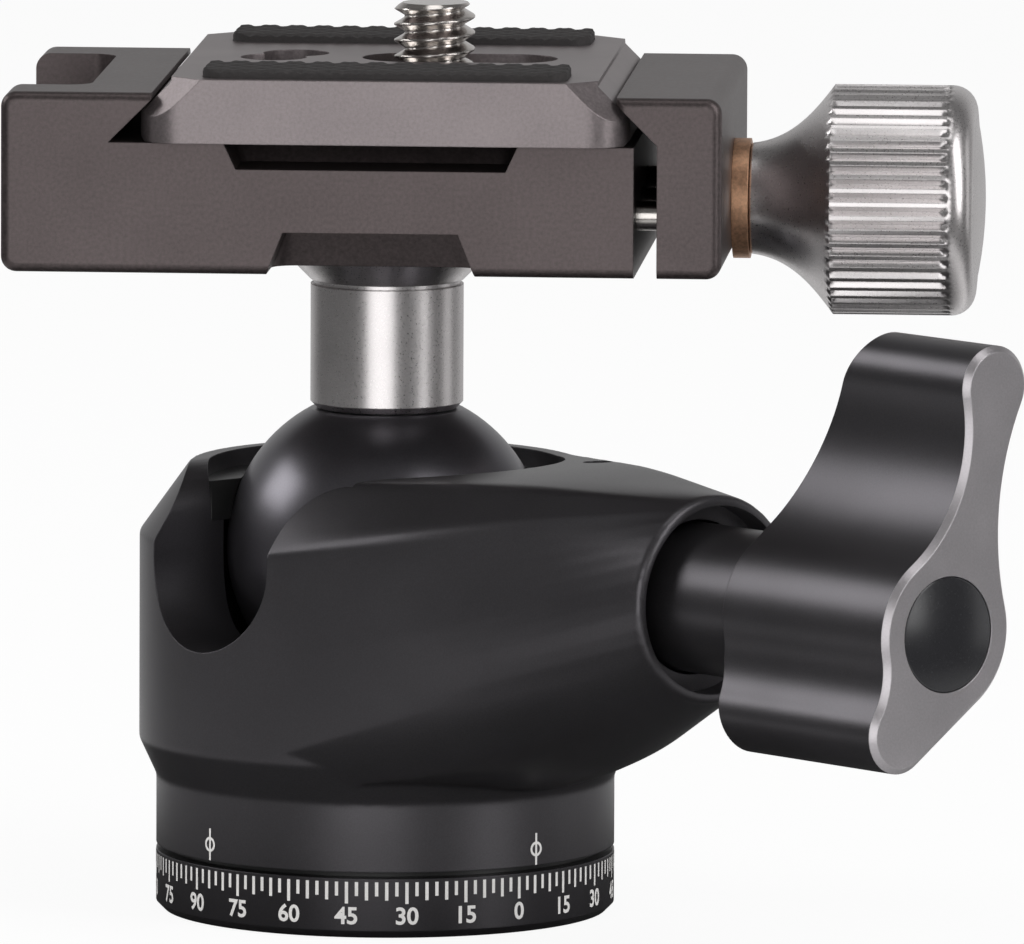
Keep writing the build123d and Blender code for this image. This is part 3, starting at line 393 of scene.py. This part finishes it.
def bossSections(look):
    # the boss at its root, middle and end, with the same number of points in each
    between, radius = look["between"], look["endRadius"]
    root = closedSection(look["root"], between)
    middle = rounded(closedSection(look["middle"], between), look["creaseWear"])
    middle = rounded(middle, look["bellyWear"], look["bellyTop"])
    angles = list(look["endJoints"]) + [-180 - angle for angle in reversed(look["endJoints"][:-1])]
    end = []
    for start, stop in zip(angles, angles[1:]):
        for i in range(between):
            angle = math.radians(start + (stop - start) * i / between)
            end.append((radius * math.cos(angle), look["lockHeight"] + radius * math.sin(angle)))
    return root, middle, end


def bossRing(look, sections, out):
    # a ring of the boss: straight from section to section, with a smooth bend at the middle one
    past = out - look["middleAt"]
    bend = ridge(past, look["bendLength"])
    ring = []
    for a, b, c in zip(*sections):
        point = []
        for k in (0, 1):
            before = (b[k] - a[k]) / (look["middleAt"] - look["rootAt"])
            after = (c[k] - b[k]) / (look["endAt"] - look["middleAt"])
            point.append(b[k] + before * past + (after - before) * bend)
        ring.append((out, *point))
    return ring


def bossMesh(look):
    sections = bossSections(look)
    start, length = look["rootAt"], look["endAt"] - look["rootAt"]
    rings = [
        bossRing(look, sections, start + length * i / look["rings"]) for i in range(look["rings"] + 1)]
    nose, radius, middle = look["nose"], look["endRadius"], look["lockHeight"]
    for i in range(1, look["noseSteps"] + 1):
        turn = math.pi / 2 * i / look["noseSteps"]
        share = (radius - nose + nose * math.cos(turn)) / radius
        rings.append([
            (look["endAt"] + nose * math.sin(turn), across * share, middle + (height - middle) * share)
            for across, height in sections[2]])
    side = up.cross(lockDir)
    corners = [
        lockDir * out + side * across + up * height for ring in rings for out, across, height in ring]
    return outward(makeMesh("boss", corners, ringFaces(len(rings), len(rings[0]))))


def bore(origin, direction, start, radius, end, columns):
    return outward(lathe("bore", [(start, radius), (end, radius)], origin, direction, columns))


def notchMesh(look, rise, middle):
    # U-shaped notch with flared lips, along its own direction; rise is from its middle to the rim
    half, lip = look["half"], look["lip"]
    right = []
    for i in range(look["steps"] + 1):
        turn = math.radians(-90 + 90 * i / look["steps"])
        right.append((half * math.cos(turn), half * math.sin(turn)))
    for i in range(look["lipSteps"] + 1):
        turn = math.radians(180 - 90 * i / look["lipSteps"])
        right.append((half + lip + lip * math.cos(turn), rise - lip + lip * math.sin(turn)))
    right.append((half + lip, rise * 2))
    section = right + [(-across, height) for across, height in reversed(right[1:])]
    side = up.cross(notchDir)
    corners = [
        notchDir * out + side * across + up * (height + middle)
        for out in (look["start"], look["end"]) for across, height in section]
    return outward(makeMesh("notch", corners, ringFaces(2, len(section))))


def buildBody(look):
    outline, core, screw = look["outline"], look["core"], look["setScrew"]
    rim, zero = outline[-1][0], (0, 0, 0)
    profile = [(outline[0][0], core)] + outline + [(rim, core)]
    turned = outward(lathe("turned", profile, zero, up, look["columns"]))
    whole = combine(turned, [bossMesh(look)], "UNION")
    whole = applyModifiers(
        whole, ("REMESH", {"mode": "VOXEL", "voxel_size": look["voxel"] * mm}),
        ("SMOOTH", {"factor": 0.5, "iterations": look["smoothing"]}))

    columns, few = look["boreColumns"], look["smallBoreColumns"]
    lockAt, panAt = (0, 0, look["lockHeight"]), (0, 0, look["panHeight"])
    screwAt = lockDir * screw["out"] + up.cross(lockDir) * screw["across"]
    cutters = [
        outward(lathe("chamber", look["chamber"], zero, up, look["chamberColumns"])),
        bore(zero, up, 0, look["belowRadius"], look["bottom"], columns),
        notchMesh(look["notch"], rim - look["ballHeight"], look["ballHeight"]),
        bore(screwAt, up, screw["bottom"], screw["radius"], screw["top"], few)]
    for start, radius in look["lockBores"]:
        cutters.append(bore(lockAt, lockDir, start, radius, look["lockBoreEnd"], columns))
    for start, radius in look["panBores"]:
        cutters.append(bore(panAt, panDir, start, radius, look["panBoreEnd"], few))
    whole = combine(whole, cutters, "DIFFERENCE")
    whole.name = "bodyHousing"
    addPiece("bodyHousing", whole, "charcoalAnodised", "body", ["shell"])


buildBody(bodyHousing)
print("body built")

# camera screw: 1/4 inch, 20 threads to the inch; heights and lengths in mm
cameraScrew = {
    "at": (jointPlace("screw_turn")[0], 0, 0), "bottom": nodeBox("camera_screw")[0][2],
    "headHeight": 1.5, "headRadius": 5.2, "edge": 0.15, "shank": 2.5,
    "start": 65.4, "end": nodeBox("camera_screw")[1][2],  # the thread
    "pitch": 25.4 / 20, "major": 3.17, "minor": 2.36,
    "flat": 0.12,  # at crest and root, as a share of the pitch
    "bevel": 0.55, "runOut": 0.6, "undercut": 0.2, "gap": 0.01, "rowsPerTurn": 16, "columns": 72}


def threadShape(look):
    # external V thread: height over one pitch, cut down by the bevels at its ends
    flat, depth = look["flat"], look["major"] - look["minor"]

    def shape(angle, distance, radius):
        if not look["start"] <= distance <= look["end"]:
            return radius
        phase = (distance / look["pitch"] - angle / (2 * math.pi)) % 1.0
        height = min(1.0, max(0.0, (1 - abs(2 * phase - 1) - flat) / (1 - 2 * flat)))
        limit = look["major"] - max(0.0, distance - (look["end"] - look["bevel"]))
        limit -= max(0.0, look["start"] + look["runOut"] - distance)
        return max(min(look["minor"] + depth * height, limit), look["minor"] - look["undercut"])

    return shape


def buildCameraScrew(look):
    bottom, wide, edge, shank = look["bottom"], look["headRadius"], look["edge"], look["shank"]
    top, start, length = bottom + look["headHeight"], look["start"], look["end"] - look["start"]
    profile = [(bottom, wide - edge), (bottom + edge, wide), (top - edge, wide), (top, wide - edge)]
    profile += [(top, shank), (start - look["gap"], shank)]
    count = round(length / look["pitch"] * look["rowsPerTurn"])
    profile += [(start + length * row / count, look["minor"]) for row in range(count + 1)]
    mesh = lathe("cameraScrewThreaded", profile, look["at"], up, look["columns"], threadShape(look))
    addPiece("cameraScrewThreaded", mesh, "turnedStainless", "mount_screw", ["camera_screw"])


buildCameraScrew(cameraScrew)
print("camera screw built")

# clamp knob, turned, with straight V flutes round its grip; distances along its axis in mm
knobStart, knobEnd = nodeBox("clamp_knob")[0][0], nodeBox("clamp_knob")[1][0]
clampKnob = {
    "origin": (knobStart, 0, jointPlace("clamp_knob_turn")[2]), "length": knobEnd - knobStart,
    "screwRadius": 2.5, "neck": 4.35, "edge": 0.12, "grip": 9.0,
    # the bell-shaped flare's two pulls: (distance, radius beyond the neck's or the grip's)
    "flareNeck": (3.2, 0.35), "flareGrip": (5.0, -2.0), "flareEnd": 6.5, "flareSteps": 18,
    "flutes": 52, "columnsPerFlute": 6, "fluteDepth": 0.42, "fluteStart": 6.0, "fluteEnd": 15.8,
    "fluteHalf": 1 / 3, "fluteRun": 2, "fluteRows": 5,  # half width in pitches, run-out in depths
    "shoulder": 1.9, "shoulderSteps": 8, "capRadius": 6.62, "capDepth": 0.9}


def fluteShape(look):
    half, run = look["fluteHalf"], look["fluteRun"]

    def shape(angle, distance, radius):
        if radius < look["grip"] - tiny:  # only the grip is fluted
            return radius
        away = abs(angle / (2 * math.pi) * look["flutes"] % 1.0 - 0.5)  # pitches from a groove's middle
        cut = look["fluteDepth"] * min(1.0, max(0.0, (half - away) / half))
        room = min(distance - look["fluteStart"], look["fluteEnd"] - distance) / run
        return radius - min(cut, max(0.0, room))

    return shape


def knobFlare(look):
    # a cubic curve from the neck to the grip
    (outNeck, more), (outGrip, less) = look["flareNeck"], look["flareGrip"]
    neck, grip, steps = look["neck"], look["grip"], look["flareSteps"]
    points = [
        (look["edge"], neck), (outNeck, neck + more), (outGrip, grip + less), (look["flareEnd"], grip)]
    curve = []
    for i in range(1, steps + 1):
        t = i / steps
        weights = (1 - t) ** 3, 3 * t * (1 - t) ** 2, 3 * t * t * (1 - t), t ** 3
        curve.append(tuple(sum(w * point[k] for w, point in zip(weights, points)) for k in (0, 1)))
    return curve


def buildClampKnob(look):
    neck, grip, edge, length = look["neck"], look["grip"], look["edge"], look["length"]
    profile = [(0.0, look["screwRadius"]), (0.0, neck - edge), (edge, neck)] + knobFlare(look)
    run, rows = look["fluteRun"] * look["fluteDepth"], look["fluteRows"]
    first, last = max(look["fluteStart"], look["flareEnd"]), look["fluteEnd"]
    profile += [(first + run * i / rows, grip) for i in range(1, rows + 1)]
    profile += [(last - run * i / rows, grip) for i in range(rows, -1, -1)]
    bend, steps = look["shoulder"], look["shoulderSteps"]
    for i in range(1, steps + 1):
        turn = math.pi / 2 * i / steps
        profile.append((length - bend + bend * math.sin(turn), grip - bend + bend * math.cos(turn)))
    profile += [(length, look["capRadius"]), (length - look["capDepth"], look["capRadius"])]
    columns = look["flutes"] * look["columnsPerFlute"]
    mesh = lathe("clampKnobTurned", profile, look["origin"], (1, 0, 0), columns, fluteShape(look))
    addPiece("clampKnobTurned", mesh, "clearAnodised", "knob", ["clamp_knob"])


buildClampKnob(clampKnob)
print("clamp knob built")

# domed cap in the lever's end, distances out along the lock in mm
leverCap = {
    "origin": (0, 0, jointPlace("lock_lever_turn")[2]), "back": 63.8, "front": 65.4, "radius": 4.45,
    "edge": 0.18, "edgeSteps": 4, "dome": 0.5, "domeSteps": 24, "tip": 0.02, "columns": 96}


def buildLeverCap(look):
    radius, edge, front = look["radius"], look["edge"], look["front"]
    profile = [(look["back"], radius), (front - edge, radius)]
    for i in range(1, look["edgeSteps"]):
        turn = math.pi / 2 * i / look["edgeSteps"]
        profile.append((front - edge + edge * math.sin(turn), radius - edge + edge * math.cos(turn)))
    for i in range(look["domeSteps"] + 1):
        share = 1 - i / look["domeSteps"]
        rise = look["dome"] * (1 - share * share)
        profile.append((front + rise, max((radius - edge) * share, look["tip"])))
    mesh = lathe("leverCapDome", profile, look["origin"], lockDir, look["columns"])
    addPiece("leverCapDome", mesh, "glossBlackABS", "lock_lever", ["lever_cap"])


buildLeverCap(leverCap)
print("lever cap built")

# rubber strips with crossed ridges moulded on top, in mm
rubberStrips = {
    "pieces": {"rubberStripFront": "rubber_strip_front", "rubberStripBack": "rubber_strip_back"},
    "corner": 1.5, "thickness": 0.9, "edgeDrop": 0.14,
    "ridgePitch": 1.5, "ridgeHeight": 0.3, "cell": 0.18}


def stripTop(look, length, width, columns, rows):
    # the ridged top as rows of points about its own middle, with the corners rounded
    corner, pitch = look["corner"], look["ridgePitch"] * math.sqrt(2)
    points = []
    for row in range(rows + 1):
        for column in range(columns + 1):
            x, y = length * (column / columns - 0.5), width * (row / rows - 0.5)
            overX = max(0.0, abs(x) - (length / 2 - corner))
            overY = max(0.0, abs(y) - (width / 2 - corner))
            reach = math.hypot(overX, overY)
            if overX and overY and reach > corner:
                x = math.copysign(length / 2 - corner + overX * corner / reach, x)
                y = math.copysign(width / 2 - corner + overY * corner / reach, y)
            rise = max(math.cos(2 * math.pi * across / pitch) for across in (x + y, x - y))
            z = look["thickness"] + look["ridgeHeight"] * (rise + 1) / 2
            if row in (0, rows) or column in (0, columns):
                z -= look["edgeDrop"]
            points.append((x, y, z))
    return points


def buildRubberStrip(look, name, node):
    low, high = nodeBox(node)
    length, width = high[0] - low[0], high[1] - low[1]
    middleX, middleY, bottom = (low[0] + high[0]) / 2, (low[1] + high[1]) / 2, low[2]
    columns, rows = round(length / look["cell"]), round(width / look["cell"])
    top = stripTop(look, length, width, columns, rows)
    corners = [(middleX + x, middleY + y, bottom + z) for x, y, z in top]
    faces, span = [], columns + 1
    for row in range(rows):
        for column in range(columns):
            a = row * span + column
            faces.append((a, a + 1, a + 1 + span, a + span))
    # walls down from the rim, and the flat underside
    rim = list(range(span)) + [row * span + columns for row in range(1, rows + 1)]
    rim += [rows * span + column for column in range(columns - 1, -1, -1)]
    rim += [row * span for row in range(rows - 1, 0, -1)]
    below, count = len(corners), len(rim)
    corners += [(corners[i][0], corners[i][1], bottom) for i in rim]
    for i in range(count):
        j = (i + 1) % count
        faces.append((rim[j], rim[i], below + i, below + j))
    faces.append(tuple(below + i for i in range(count - 1, -1, -1)))
    mesh = makeMesh(name, corners, faces)
    addPiece(name, mesh, "mouldedRubber", "quick_plate", [node])


for name, node in rubberStrips["pieces"].items():
    buildRubberStrip(rubberStrips, name, node)
print("rubber strips built")

# degree scale round the base and two index marks on the body, filled with paint; mm and degrees
scaleRing = {
    "radius": nodeBox("pan_base")[1][0], "lift": 0.03, "zeroAt": -50.3,
    "top": 4.45, "step": 2.5, "tickWidth": 0.26, "long": 1.7, "middle": 1.43, "short": 1.1,
    "digitStep": 15, "digitHeight": 1.3, "digitMiddle": 1.72,
    "digitWeight": 0.045, "curveSteps": 4,
    "capitalShare": 0.7,  # a figure's height as a share of its font's size
    "marksAt": (-45.0, -135.0), "markHeight": 6.5, "markLine": 2.5, "markWidth": 0.2,
    "markRing": 0.585, "ringSteps": 32, "ringLift": 0.005}


def onRound(angle, height, radius):
    return Vector((math.cos(angle) * radius, math.sin(angle) * radius, height))


def uprightLine(corners, faces, angle, height, width, tall, radius):
    # a narrow upright rectangle lying on a round wall
    half, start = width / radius / 2, len(corners)
    for turn in (angle - half, angle + half):
        corners += [onRound(turn, height, radius), onRound(turn, height + tall, radius)]
    faces.append((start, start + 2, start + 3, start + 1))


def buildTicks(look, radius):
    # a long line at each number, then short and middle ones in turn
    corners, faces = [], []
    numbered = round(look["digitStep"] / look["step"])
    for i in range(round(360 / look["step"])):
        tall = look["long"] if i % numbered == 0 else look["middle"] if i % 2 == 0 else look["short"]
        angle = math.radians(look["zeroAt"] + i * look["step"])
        uprightLine(corners, faces, angle, look["top"] - tall, look["tickWidth"], tall, radius)
    mesh = makeMesh("scaleTicks", corners, faces)
    addPiece("scaleTicks", mesh, "whiteFillPaint", "base")


def buildDigits(look, radius):
    # 0 to 90 and back, twice round, each number bent round the wall
    corners, faces = [], []
    for turned in range(0, 360, look["digitStep"]):
        text = bpy.data.curves.new("digits", "FONT")
        text.body = str(90 - abs(90 - turned % 180))
        text.align_x, text.align_y = "CENTER", "CENTER"
        text.size = look["digitHeight"] / look["capitalShare"]
        text.resolution_u = look["curveSteps"]
        text.offset = look["digitWeight"]
        item = bpy.data.objects.new("digits", text)
        scene.collection.objects.link(item)
        bpy.context.view_layer.update()
        evaluated = item.evaluated_get(bpy.context.evaluated_depsgraph_get())
        flat = bpy.data.meshes.new_from_object(evaluated)
        start, centre = len(corners), math.radians(look["zeroAt"] + turned)
        for vertex in flat.vertices:
            height = look["digitMiddle"] + vertex.co.y
            corners.append(onRound(centre + vertex.co.x / radius, height, radius))
        faces += [tuple(start + v for v in polygon.vertices) for polygon in flat.polygons]
        bpy.data.objects.remove(item)
    mesh = makeMesh("scaleDigits", corners, faces)
    addPiece("scaleDigits", mesh, "whiteFillPaint", "base")


def buildIndexMarks(look, radius):
    # an upright line through a small ring, twice
    corners, faces = [], []
    middle, ring, steps = look["markHeight"], look["markRing"], look["ringSteps"]
    line, tall = look["markWidth"], look["markLine"]
    for degrees in look["marksAt"]:
        centre = math.radians(degrees)
        uprightLine(corners, faces, centre, middle - tall / 2, line, tall, radius)
        start = len(corners)
        for i in range(steps):
            turn = 2 * math.pi * i / steps
            for reach in (ring, ring - line):
                angle = centre + math.cos(turn) * reach / radius
                height = middle + math.sin(turn) * reach
                corners.append(onRound(angle, height, radius + look["ringLift"]))
        for i in range(steps):
            a, b = start + 2 * i, start + 2 * ((i + 1) % steps)
            faces.append((a, b, b + 1, a + 1))
    mesh = makeMesh("indexMarks", corners, faces)
    addPiece("indexMarks", mesh, "whiteFillPaint", "body")


paintRadius = scaleRing["radius"] + scaleRing["lift"]
buildTicks(scaleRing, paintRadius)
buildDigits(scaleRing, paintRadius)
buildIndexMarks(scaleRing, paintRadius)
print("scale built")

cameraView = {
    "azimuth": 3.9, "elevation": 7.0, "roll": 0.25,  # degrees
    "distance": 1.5, "height": 0.0344, "sideways": 0.00984, "near": 0.05, "far": 50,  # m
    "lens": 672.4, "sensor": 36.0}  # mm
studio = {
    # floor of white paper, sizes in m
    "floorSize": 6.0, "floorDrop": 0.00005, "floorGlow": 0.92,
    "tableRadius": 0.10, "tableFade": 0.03, "footShade": 0.08, "footRadius": 0.045,
    # the world's strength: for the camera, in metal at the back and elsewhere, and as fill light
    "backdrop": 1.0, "backdropInMetal": 0.55, "room": 0.14, "fill": 0.42,
    "backdropEdge": {"From Min": 0.5, "From Max": 0.9},  # how far back a direction points
    # each lamp: azimuth from the camera's side, elevation, distance m, width m, height m, watts
    "lamps": {
        "frontSoftbox": (-9, 4, 0.7, 0.50, 0.50, 1.42),
        "rightStrip": (54, 28, 0.7, 0.28, 0.85, 2.6),
        "rightSide": (104, 8, 0.7, 0.24, 0.50, 0.26),
        "leftSoftbox": (-102, 30, 0.7, 0.36, 0.30, 1.35),
        "topSoftbox": (0, 82, 0.7, 0.30, 0.20, 0.34)}}
white = (1, 1, 1, 1)


def paperFloor(look):
    material, tree = startMaterial("paperFloor")
    rays = addNode(tree, "ShaderNodeLightPath")
    place = addNode(tree, "ShaderNodeTexCoord").outputs["Object"]
    distance = addNode(tree, "ShaderNodeVectorMath", {0: place}, operation="LENGTH")
    # in metal only the small table shows, and the lamps beyond and below its edge
    beyond = addNode(tree, "ShaderNodeMapRange", {
        "Value": distance.outputs["Value"], "From Min": look["tableRadius"],
        "From Max": look["tableRadius"] + look["tableFade"]})
    gone = addNode(tree, "ShaderNodeMath", {
        0: rays.outputs["Is Glossy Ray"], 1: beyond.outputs[0]}, operation="MULTIPLY")
    amount = addNode(tree, "ShaderNodeMath", {
        0: rays.outputs["Is Camera Ray"], 1: look["floorGlow"]}, operation="MULTIPLY")
    # and close round the foot, metal sees the paper in shade
    foot = addNode(tree, "ShaderNodeMapRange", {
        "Value": distance.outputs["Value"], "From Min": look["footRadius"],
        "From Max": 2 * look["footRadius"], "To Min": look["footShade"], "To Max": 1.0})
    tone = addNode(tree, "ShaderNodeMix", {
        "Factor": rays.outputs["Is Glossy Ray"], "A": 1.0, "B": foot.outputs[0]}, data_type="FLOAT")
    paper = addNode(tree, "ShaderNodeBsdfDiffuse", {"Color": tone.outputs["Result"]})
    glow = addNode(tree, "ShaderNodeEmission", {"Color": white, "Strength": 1.0})
    shown = addNode(tree, "ShaderNodeMixShader", {
        "Fac": amount.outputs[0], 1: paper.outputs[0], 2: glow.outputs[0]})
    clear = addNode(tree, "ShaderNodeBsdfTransparent")
    mixed = addNode(tree, "ShaderNodeMixShader", {
        "Fac": gone.outputs[0], 1: shown.outputs[0], 2: clear.outputs[0]})
    addNode(tree, "ShaderNodeOutputMaterial", {"Surface": mixed.outputs[0]})
    return material


def placeFloor(look):
    bpy.ops.mesh.primitive_plane_add(size=look["floorSize"], location=(0, 0, -look["floorDrop"]))
    floor = bpy.context.object
    floor.name = "studioFloor"
    floor.data.materials.append(paperFloor(look))


def placeWorld(look):
    world = bpy.data.worlds.new("studioWorld")
    scene.world = world
    world.use_nodes = True
    tree = world.node_tree
    tree.nodes.clear()
    rays = addNode(tree, "ShaderNodeLightPath")
    direction = addNode(tree, "ShaderNodeTexCoord").outputs["Generated"]
    parts = addNode(tree, "ShaderNodeSeparateXYZ", {"Vector": direction})
    behind = addNode(tree, "ShaderNodeMapRange", {
        "Value": parts.outputs["Y"], **look["backdropEdge"],
        "To Min": look["room"], "To Max": look["backdropInMetal"]})
    seen = addNode(tree, "ShaderNodeMix", {
        "Factor": rays.outputs["Is Camera Ray"], "A": behind.outputs[0], "B": look["backdrop"]},
        data_type="FLOAT")
    direct = addNode(tree, "ShaderNodeMath", {
        0: rays.outputs["Is Camera Ray"], 1: rays.outputs["Is Glossy Ray"]}, operation="MAXIMUM")
    strength = addNode(tree, "ShaderNodeMix", {
        "Factor": direct.outputs[0], "A": look["fill"], "B": seen.outputs["Result"]},
        data_type="FLOAT")
    light = addNode(tree, "ShaderNodeBackground", {
        "Color": white, "Strength": strength.outputs["Result"]})
    addNode(tree, "ShaderNodeOutputWorld", {"Surface": light.outputs[0]})


def lookAt(item, target, roll=0.0):
    item.rotation_mode = "QUATERNION"
    facing = (Vector(target) - item.location).to_track_quat("-Z", "Y")
    item.rotation_quaternion = facing @ Quaternion((0, 0, 1), math.radians(roll))


def directionAt(azimuth, elevation):
    # unit vector towards an azimuth, counted from the front, and an elevation, in degrees
    turn, rise = math.radians(azimuth), math.radians(elevation)
    return Vector((math.sin(turn) * math.cos(rise), -math.cos(turn) * math.cos(rise), math.sin(rise)))


def placeLamps(look, view):
    middle = Vector((0, 0, view["height"]))
    for name, (azimuth, elevation, distance, width, height, watts) in look["lamps"].items():
        lamp = bpy.data.lights.new(name, "AREA")
        lamp.shape = "RECTANGLE"
        lamp.size, lamp.size_y, lamp.energy = width, height, watts
        item = bpy.data.objects.new(name, lamp)
        scene.collection.objects.link(item)
        item.location = middle + directionAt(azimuth + view["azimuth"], elevation) * distance
        lookAt(item, middle)


def placeCamera(view):
    turn = math.radians(view["azimuth"])
    right = Vector((math.cos(turn), math.sin(turn), 0))
    target = Vector((0, 0, view["height"])) + right * view["sideways"]
    data = bpy.data.cameras.new("studioCamera")
    data.sensor_width, data.lens = view["sensor"], view["lens"]
    data.clip_start, data.clip_end = view["near"], view["far"]
    item = bpy.data.objects.new("studioCamera", data)
    scene.collection.objects.link(item)
    item.location = target + directionAt(view["azimuth"], view["elevation"]) * view["distance"]
    lookAt(item, target, view["roll"])
    scene.camera = item


placeFloor(studio)
placeWorld(studio)
placeLamps(studio, cameraView)
placeCamera(cameraView)
scene.view_settings.view_transform = "Standard"
print("studio ready")

bpy.context.view_layer.update()
